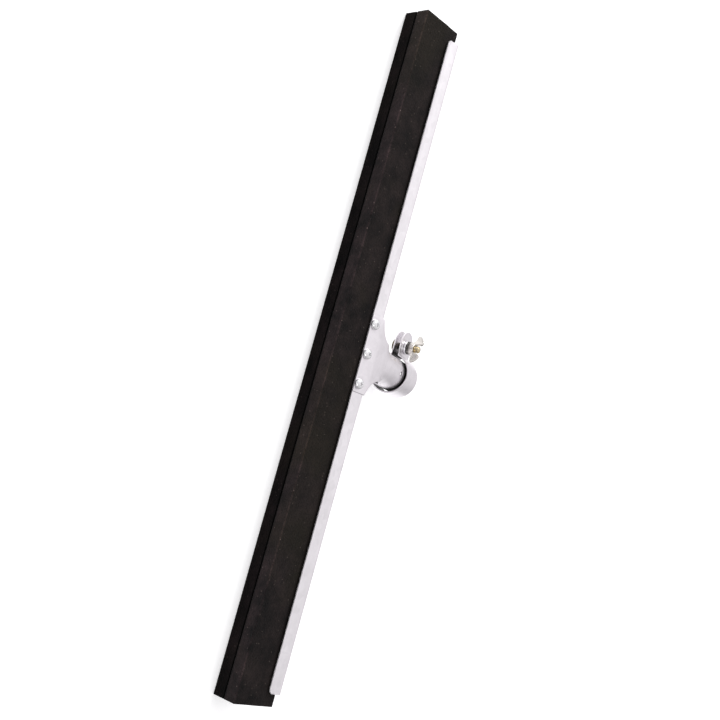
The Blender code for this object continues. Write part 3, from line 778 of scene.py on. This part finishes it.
def washer_profile(inner, outer, low, high, soft):
    """Section of a stamped washer, with its upper edges rounded by the punch."""
    section = [(inner, low + 0.1 * MM), (inner + 0.1 * MM, low), (outer - 0.1 * MM, low),
               (outer, low + 0.1 * MM)]
    section += turn(soft, 0, 90, 4, (outer - soft, high - soft))
    section += turn(soft, 90, 180, 4, (inner + soft, high - soft))
    return section


bright_zinc = plated_finish("bright_zinc", (0.83, 0.82, 0.83), (0.74, 0.745, 0.76), 0.21, 300.0)
bm = bmesh.new()
turned(bm, washer_profile(WASHER_INNER, WASHER_OUTER, WASHER_SEAT, WASHER_SEAT + WASHER_THICK,
                          0.35 * MM), 64)
bm.transform(BOLT)
washer = new_piece("clamp_washer_m6", bm, bright_zinc, sharp=40)
finished(washer, "clamp_washer", "bright_zinc", "clamp_washer")

# ---- Wing nut
# A hot-pressed nut with two flared wings, nickel plated. The wings are thick at the hub and swell again
# into a soft bead at their rims, and every corner is rounded by the dies.
NUT_SEAT = WASHER_SEAT + WASHER_THICK + 0.3 * MM
HUB_BASE, HUB_TOP, HUB_HEIGHT = 5.6 * MM, 4.6 * MM, 6.0 * MM
WING_TURN = math.radians(-17)
WING_EDGE = [(5.0, 1.2), (6.2, 3.4), (8.0, 4.6), (10.2, 5.0), (12.2, 5.4), (12.8, 6.6), (12.2, 8.3),
             (10.6, 10.0), (8.4, 11.5), (6.4, 12.0), (5.0, 11.5), (4.3, 10.0), (4.0, 8.0), (3.6, 5.6)]


def nut_painted_shade(tree, place):
    """Painted shade on the lower part of the hub, fading upwards and towards the wings."""
    low = ramp(tree, reach_along(tree, place, BOLT, 2), NUT_SEAT + 3.6 * MM, NUT_SEAT + 1.6 * MM)
    hub = ramp(tree, axis_distance(tree, place, BOLT.translation, BOLT.col[2].xyz), 6.6 * MM, 5.4 * MM)
    return maths(tree, "MULTIPLY", low, hub)


# This plating carries painted shade on the lower part of the nut's hub.
nickel = plated_finish("nickel_plate", (0.72, 0.695, 0.65), (0.60, 0.58, 0.55), 0.14, 260.0,
                       shade_mask=nut_painted_shade)


def wing_nut_form():
    """Hub and wings as rough overlapping solids, to be fused and softened."""
    bm = bmesh.new()
    low, high = NUT_SEAT, NUT_SEAT + HUB_HEIGHT
    turned(bm, [(0, low), (HUB_BASE, low), (HUB_BASE, low + 1.2 * MM), (HUB_TOP, high), (0, high)], 48)
    for side in (-1, 1):
        rim = [(x * MM, NUT_SEAT + z * MM) for x, z in WING_EDGE] + [(0.5 * MM, high - 1.0 * MM),
                                                                    (0.5 * MM, low + 0.8 * MM)]
        faces = {}
        for y in (-1, 1):
            faces[y] = []
            for x, z in rim:
                root = 0.55 * MM * math.exp(-max(0.0, x - 4.6 * MM) / (1.6 * MM))
                faces[y].append(bm.verts.new((side * x, y * (1.0 * MM + root), z)))
            bm.faces.new(faces[y] if y * side < 0 else faces[y][::-1])
        for i in range(len(rim)):
            j = (i + 1) % len(rim)
            quad = (faces[-1][i], faces[1][i], faces[1][j], faces[-1][j])
            bm.faces.new(quad if side > 0 else quad[::-1])
    bmesh.ops.recalc_face_normals(bm, faces=bm.faces)
    return bm


bm = wing_nut_form()
wing_nut = new_piece("wing_nut_m6", bm, nickel)
fused = wing_nut.modifiers.new("fused", "REMESH")
fused.mode = "VOXEL"
fused.voxel_size = 0.22 * MM
soft = wing_nut.modifiers.new("soft", "SMOOTH")
soft.factor = 0.6
soft.iterations = 9
bore = rod_cutter("wing_bore", 3.3 * MM, NUT_SEAT - 2 * MM, NUT_SEAT + HUB_HEIGHT + 2 * MM, Matrix())
cut = wing_nut.modifiers.new("bore", "BOOLEAN")
cut.object = bore
cut.solver = "EXACT"
nut_mesh = plain_mesh(wing_nut)
bpy.data.objects.remove(wing_nut)
bpy.data.objects.remove(bore)
wing_nut = joined("wing_nut_m6", [nut_mesh], BOLT @ Matrix.Rotation(WING_TURN, 4, "Z"), nickel, sharp=50)
finished(wing_nut, "wing_nut", "nickel", "wing_nut")

# ---- Frame screws, washers and nuts
# Three M4 pan-head screws with cross recesses go through the plates, the frame and both lips. Behind,
# each one has a thin washer and a hexagon nut, with the end of its thread standing out.
SCREW_SPACING, SCREW_Z = 24 * MM, 33.5 * MM
SCREW_SEAT = 15.0 * MM
SCREW_LENGTH = 35 * MM
SCREW_RADIUS, SCREW_PITCH = 1.97 * MM, 0.7 * MM
HEAD_RADIUS, HEAD_HEIGHT = 4.3 * MM, 2.9 * MM
SCREW_PLACE = HEAD @ Matrix.Translation((0, 0, SCREW_Z)) @ Matrix.Rotation(math.radians(90), 4, "X")


def row_tree():
    """Geometry nodes: a fastener made along Z, set out in a row along X, each turned a little more."""
    tree = bpy.data.node_groups.new("fastener_row", "GeometryNodeTree")
    for name, kind in (("Fastener", "Geometry"), ("Count", "Int"), ("Spacing", "Float"), ("Turn", "Float"),
                       ("Place", "Vector"), ("Tilt", "Float"), ("Finish", "Material")):
        tree.interface.new_socket(name, in_out="INPUT", socket_type="NodeSocket" + kind)
    tree.interface.new_socket("Geometry", in_out="OUTPUT", socket_type="NodeSocketGeometry")
    given = tree.nodes.new("NodeGroupInput").outputs
    step = make_node(tree, "ShaderNodeCombineXYZ", {"X": given["Spacing"]}).outputs[0]
    last = maths(tree, "SUBTRACT", given["Count"], 1.0)
    back = maths(tree, "MULTIPLY", last, -0.5)
    first = make_node(tree, "ShaderNodeVectorMath", {0: step, "Scale": back}, operation="SCALE").outputs[0]
    line = make_node(tree, "GeometryNodeMeshLine", {"Count": given["Count"], "Start Location": first,
                                                    "Offset": step}).outputs["Mesh"]
    index = make_node(tree, "GeometryNodeInputIndex").outputs[0]
    spin = maths(tree, "MULTIPLY", index, given["Turn"])
    turn_z = make_node(tree, "ShaderNodeCombineXYZ", {"Z": spin}).outputs[0]
    rotation = make_node(tree, "FunctionNodeEulerToRotation", {"Euler": turn_z}).outputs[0]
    copies = make_node(tree, "GeometryNodeInstanceOnPoints", {"Points": line, "Instance": given["Fastener"],
                                                              "Rotation": rotation}).outputs[0]
    tilt = make_node(tree, "ShaderNodeCombineXYZ", {"X": given["Tilt"]}).outputs[0]
    tilted = make_node(tree, "FunctionNodeEulerToRotation", {"Euler": tilt}).outputs[0]
    placed = make_node(tree, "GeometryNodeTransform", {"Geometry": copies, "Translation": given["Place"],
                                                       "Rotation": tilted}).outputs[0]
    whole = make_node(tree, "GeometryNodeRealizeInstances", {"Geometry": placed}).outputs[0]
    coated = make_node(tree, "GeometryNodeSetMaterial", {"Geometry": whole, "Material": given["Finish"]})
    tree.links.new(coated.outputs[0], tree.nodes.new("NodeGroupOutput").inputs[0])
    return tree


fastener_row = row_tree()


def make_row(name, one, first_turn, nodes):
    """Set one fastener out three times along the plates, as one plain mesh on the root body."""
    one.transform(Matrix.Rotation(first_turn, 4, "Z"))
    mesh = grown_mesh(name, fastener_row, {
        "Count": 3, "Spacing": SCREW_SPACING, "Turn": math.radians(38),
        "Place": list(SCREW_PLACE.translation), "Tilt": SCREW_PLACE.to_euler().x,
        "Finish": bright_zinc}, start_mesh=one)
    mesh.name = name
    mesh.shade_smooth()
    mesh.set_sharp_from_angle(angle=math.radians(38))
    finished(add_object(name, mesh), "root", "bright_zinc", *nodes)


head_top = SCREW_SEAT + HEAD_HEIGHT
dome = [(0, head_top), (1.2 * MM, head_top - 0.07 * MM), (2.3 * MM, head_top - 0.30 * MM),
        (3.2 * MM, head_top - 0.72 * MM), (3.8 * MM, head_top - 1.25 * MM),
        (4.15 * MM, head_top - 1.85 * MM), (HEAD_RADIUS, SCREW_SEAT + 0.45 * MM),
        (HEAD_RADIUS - 0.04 * MM, SCREW_SEAT + 0.12 * MM), (HEAD_RADIUS - 0.2 * MM, SCREW_SEAT),
        (SCREW_RADIUS, SCREW_SEAT), (SCREW_RADIUS, SCREW_SEAT - SCREW_LENGTH + 9.6 * MM),
        (0, SCREW_SEAT - SCREW_LENGTH + 9.6 * MM)]
bm = bmesh.new()
turned(bm, dome, 56)
screw = new_piece("screw_blank", bm, bright_zinc)
bm = bmesh.new()
for quarter in (0, 1):
    bmesh.ops.create_cube(bm, size=1.0, matrix=Matrix.Rotation(quarter * math.pi / 2, 4, "Z")
                          @ Matrix.Translation((0, 0, head_top))
                          @ Matrix.Diagonal((4.0 * MM, 0.85 * MM, 2.6 * MM, 1)))
for vert in bm.verts:
    if vert.co.z < head_top:
        vert.co.x *= 0.62
        vert.co.y *= 0.62
recess = add_object("cross_recess", mesh_from("cross_recess", bm))
cut = screw.modifiers.new("cross_recess", "BOOLEAN")
cut.object = recess
cut.solver = "EXACT"
cut.use_self = True
screw_mesh = plain_mesh(screw)
bpy.data.objects.remove(screw)
bpy.data.objects.remove(recess)
screw_thread = grown_mesh("screw_thread", threads, {
    "Radius": SCREW_RADIUS, "Pitch": SCREW_PITCH, "Depth": 0.40 * MM, "Length": 10 * MM,
    "Point": 0.6 * MM, "Start": -SCREW_SEAT + SCREW_LENGTH - 10 * MM, "Rows": 110, "Finish": bright_zinc})
screw_thread.transform(Matrix.Rotation(math.pi, 4, "X"))
bm = bmesh.new()
bm.from_mesh(screw_mesh)
bm.from_mesh(screw_thread)
bm.to_mesh(screw_mesh)
bm.free()
make_row("frame_screws", screw_mesh, math.radians(12),
         ("frame_screw_left", "frame_screw_centre", "frame_screw_right"))

THIN_WASHER = 0.8 * MM
bm = bmesh.new()
turned(bm, washer_profile(2.3 * MM, 4.5 * MM, -SCREW_SEAT - THIN_WASHER, -SCREW_SEAT, 0.2 * MM), 48)
make_row("frame_washers", mesh_from("thin_washer", bm), 0.0,
         ("frame_washer_left", "frame_washer_centre", "frame_washer_right"))

SMALL_NUT_FLATS, SMALL_NUT_HEIGHT = 7.0 * MM, 3.2 * MM
nut_top = -SCREW_SEAT - THIN_WASHER - 0.3 * MM
small_nut = hexagon_blank("small_nut", SMALL_NUT_FLATS, nut_top - SMALL_NUT_HEIGHT, nut_top, bright_zinc,
                          ("low", "high"), bore=2.15 * MM)
make_row("frame_nuts", small_nut, math.radians(20),
         ("frame_nut_left", "frame_nut_centre", "frame_nut_right"))

# ---- Size
# The finished head's bounds.
low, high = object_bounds()
